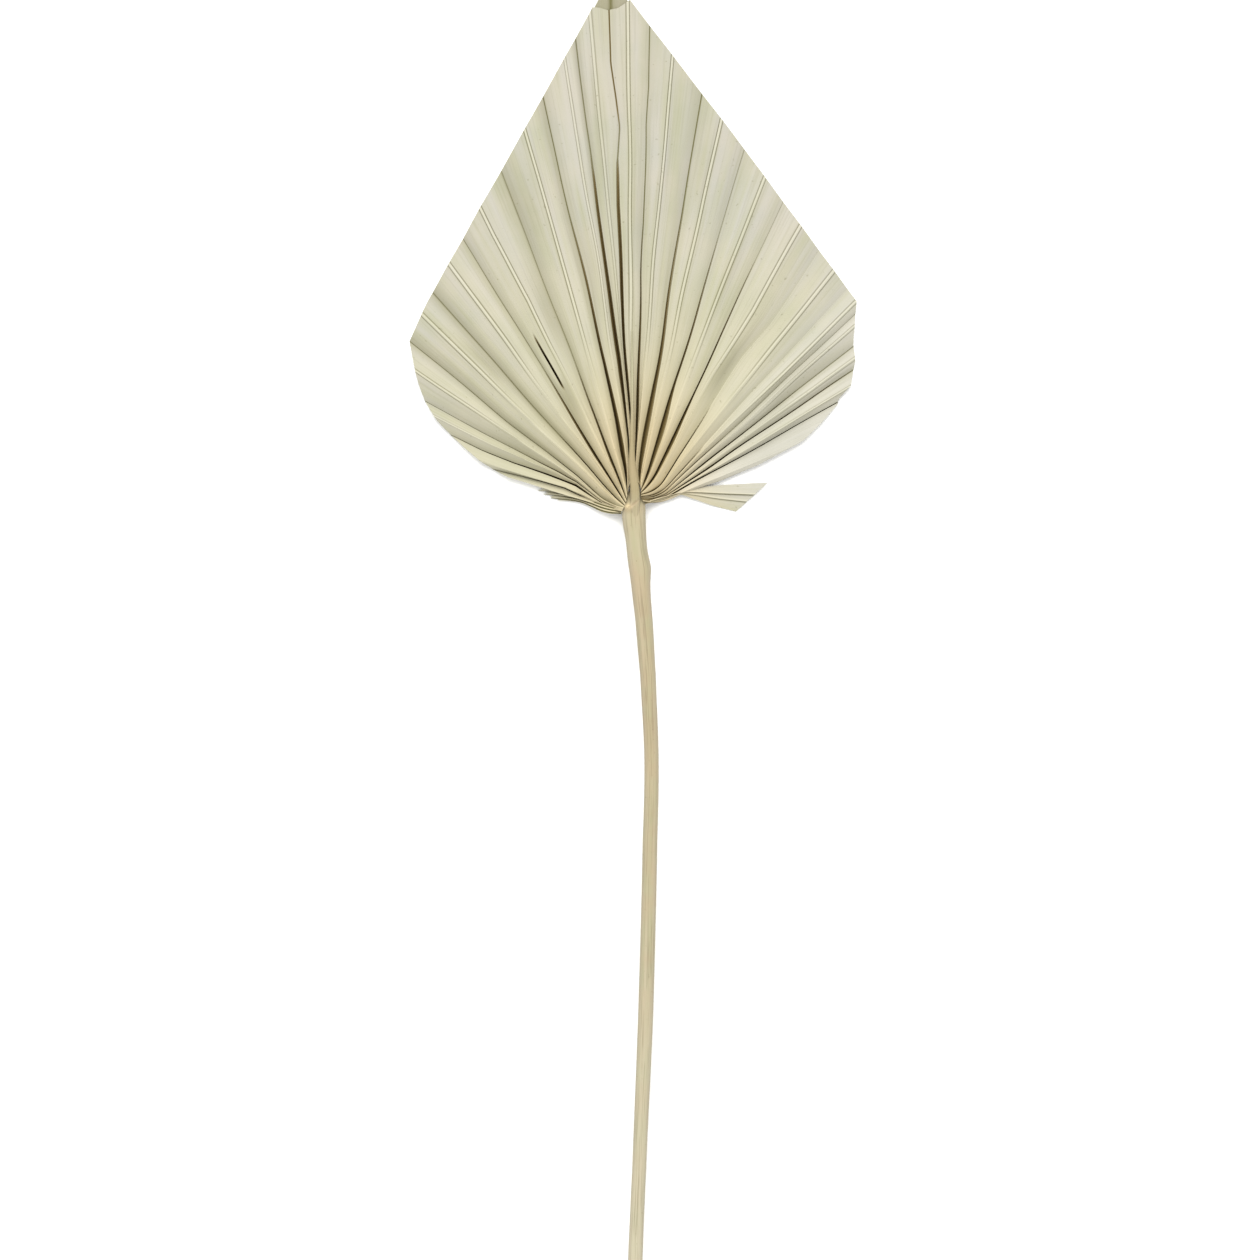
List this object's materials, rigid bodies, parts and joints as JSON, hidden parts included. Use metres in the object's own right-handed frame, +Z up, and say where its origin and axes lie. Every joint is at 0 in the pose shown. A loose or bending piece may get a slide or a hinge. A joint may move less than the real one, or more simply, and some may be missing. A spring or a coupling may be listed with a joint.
{
  "type": "fan palm leaf",
  "caption": "Dried fan palm leaf trimmed to a spear: a pleated pale blade on a slim stalk, lying face up, for vases, wreaths and wall decoration.",
  "frame": {"origin": "bottom centre of the whole leaf's bounding box, on the surface it lies on", "axes": "+Z up from that surface, +Y along the leaf towards the trimmed tip, +X to the leaf's right as seen from above with the tip up"},
  "size_m": [0.1796, 0.5249, 0.0155],
  "materials": {
    "dry_stalk": "dry straw-coloured stalk with fine lengthwise fibres",
    "dry_blade": "dry bleached leaf, matt, pale grey-green to cream, with paler rib lines"
  },
  "bodies": {
    "root": {"stem": "dry_stalk", "blade": "dry_blade", "torn_segment": "dry_blade", "frayed_segment": "dry_blade"}
  },
  "joints": []
}
